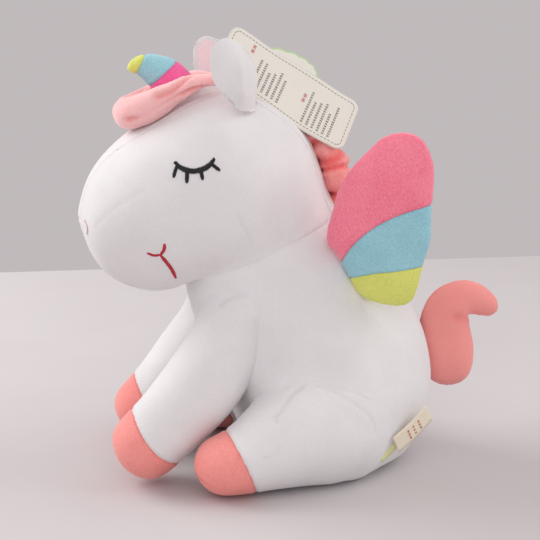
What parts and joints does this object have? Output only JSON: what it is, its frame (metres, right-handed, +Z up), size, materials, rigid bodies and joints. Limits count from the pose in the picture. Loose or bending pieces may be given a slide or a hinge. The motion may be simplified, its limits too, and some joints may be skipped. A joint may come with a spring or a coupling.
{
  "type": "plush unicorn",
  "caption": "Seated stuffed unicorn with a soft curved horn, rolled forelock, gathered mane, padded banded wings, coral hooves and an S-shaped tail.",
  "frame": {"origin": "on the ground, in the middle of the flat seat panel under the body", "axes": "+Z up, -Y the way the muzzle points, +X the toy's left side"},
  "size_m": [0.1788, 0.2573, 0.2597],
  "materials": {
    "white_plush": "short-pile plush",
    "coral_plush": "short-pile plush",
    "pale_coral_plush": "short-pile plush",
    "pink_plush": "short-pile plush",
    "blue_plush": "short-pile plush",
    "yellow_plush": "short-pile plush",
    "lining_plush": "short-pile plush",
    "black_thread": "embroidery",
    "red_thread": "embroidery",
    "pink_thread": "embroidery",
    "filling": "polyester fibre",
    "tag_paper": "uncoated card",
    "fastener_plastic": "moulded",
    "label_ribbon": "satin ribbon"
  },
  "bodies": {
    "torso": {"body_side_left": "white_plush", "body_side_right": "white_plush", "body_stuffing": "filling", "care_label_back": "label_ribbon", "care_label_front": "label_ribbon", "hind_hoof_left": "coral_plush", "hind_hoof_right": "coral_plush", "hind_leg_left": "white_plush", "hind_leg_right": "white_plush", "hind_leg_stuffing_left": "filling", "hind_leg_stuffing_right": "filling", "seat_panel": "white_plush"},
    "head": {"chin_gusset": "white_plush", "eye_left": "black_thread", "eye_right": "black_thread", "forelock": "pale_coral_plush", "forelock_stuffing": "filling", "head_gusset": "white_plush", "head_side_left": "white_plush", "head_side_right": "white_plush", "head_stuffing": "filling", "horn_base_band": "pink_plush", "horn_middle_band": "blue_plush", "horn_stuffing": "filling", "horn_tip_band": "yellow_plush", "mane": "coral_plush", "mane_stuffing": "filling", "mouth_left": "red_thread", "mouth_right": "red_thread", "nostril_left": "pink_thread", "nostril_right": "pink_thread", "tag_fastener": "fastener_plastic"},
    "ear_left": {"ear_back_left": "white_plush", "ear_lining_left": "lining_plush"},
    "front_leg_left": {"front_leg_left": "white_plush", "front_hoof_left": "coral_plush", "front_leg_stuffing_left": "filling"},
    "wing_left": {"wing_pink_band_left": "pink_plush", "wing_blue_band_left": "blue_plush", "wing_yellow_band_left": "yellow_plush", "wing_stuffing_left": "filling"},
    "ear_right": {"ear_back_right": "white_plush", "ear_lining_right": "lining_plush"},
    "front_leg_right": {"front_leg_right": "white_plush", "front_hoof_right": "coral_plush", "front_leg_stuffing_right": "filling"},
    "wing_right": {"wing_pink_band_right": "pink_plush", "wing_blue_band_right": "blue_plush", "wing_yellow_band_right": "yellow_plush", "wing_stuffing_right": "filling"},
    "tail": {"tail": "coral_plush", "tail_stuffing": "filling"},
    "tag_card": {"tag_card": "tag_paper"},
    "tag_leaf": {"tag_leaf": "tag_paper"}
  },
  "joints": [
    {"name": "head_nod", "type": "hinge", "parent": "torso", "child": "head", "pos_m": [0, -0.03, 0.117], "axis": [1, 0, 0], "range_deg": [-5, 5], "stiffness_Nm_per_rad": 3},
    {"name": "ear_fold_left", "type": "hinge", "parent": "head", "child": "ear_left", "pos_m": [0.0385, -0.047, 0.2145], "axis": [-0.4907, 0.8713, 0], "range_deg": [-12, 20], "stiffness_Nm_per_rad": 0.05},
    {"name": "leg_swing_left", "type": "hinge", "parent": "torso", "child": "front_leg_left", "pos_m": [0.033, -0.055, 0.084], "axis": [1, 0, 0], "range_deg": [-18, 3], "stiffness_Nm_per_rad": 1},
    {"name": "wing_flap_left", "type": "hinge", "parent": "torso", "child": "wing_left", "pos_m": [0.039, -0.003, 0.14], "axis": [0.1951, 0.5608, -0.8046], "range_deg": [-15, 15], "stiffness_Nm_per_rad": 0.3},
    {"name": "ear_fold_right", "type": "hinge", "parent": "head", "child": "ear_right", "pos_m": [-0.0385, -0.047, 0.2145], "axis": [-0.4907, -0.8713, 0], "range_deg": [-12, 20], "stiffness_Nm_per_rad": 0.05},
    {"name": "leg_swing_right", "type": "hinge", "parent": "torso", "child": "front_leg_right", "pos_m": [-0.033, -0.053, 0.084], "axis": [1, 0, 0], "range_deg": [-18, 3], "stiffness_Nm_per_rad": 1},
    {"name": "wing_flap_right", "type": "hinge", "parent": "torso", "child": "wing_right", "pos_m": [-0.039, -0.003, 0.14], "axis": [0.1951, -0.5608, 0.8046], "range_deg": [-15, 15], "stiffness_Nm_per_rad": 0.3},
    {"name": "tail_wag", "type": "hinge", "parent": "torso", "child": "tail", "pos_m": [0, 0.08, 0.06], "axis": [0, 0, 1], "range_deg": [-20, 20], "stiffness_Nm_per_rad": 0.2},
    {"name": "card_swivel", "type": "hinge", "parent": "head", "child": "tag_card", "pos_m": [0.00961, -0.04973, 0.24025], "axis": [0.7986, 0.3255, 0.5063], "range_deg": [0, 6]},
    {"name": "leaf_swivel", "type": "hinge", "parent": "head", "child": "tag_leaf", "pos_m": [0.00961, -0.04973, 0.24025], "axis": [0.7986, 0.3255, 0.5063], "range_deg": [0, 15]}
  ]
}
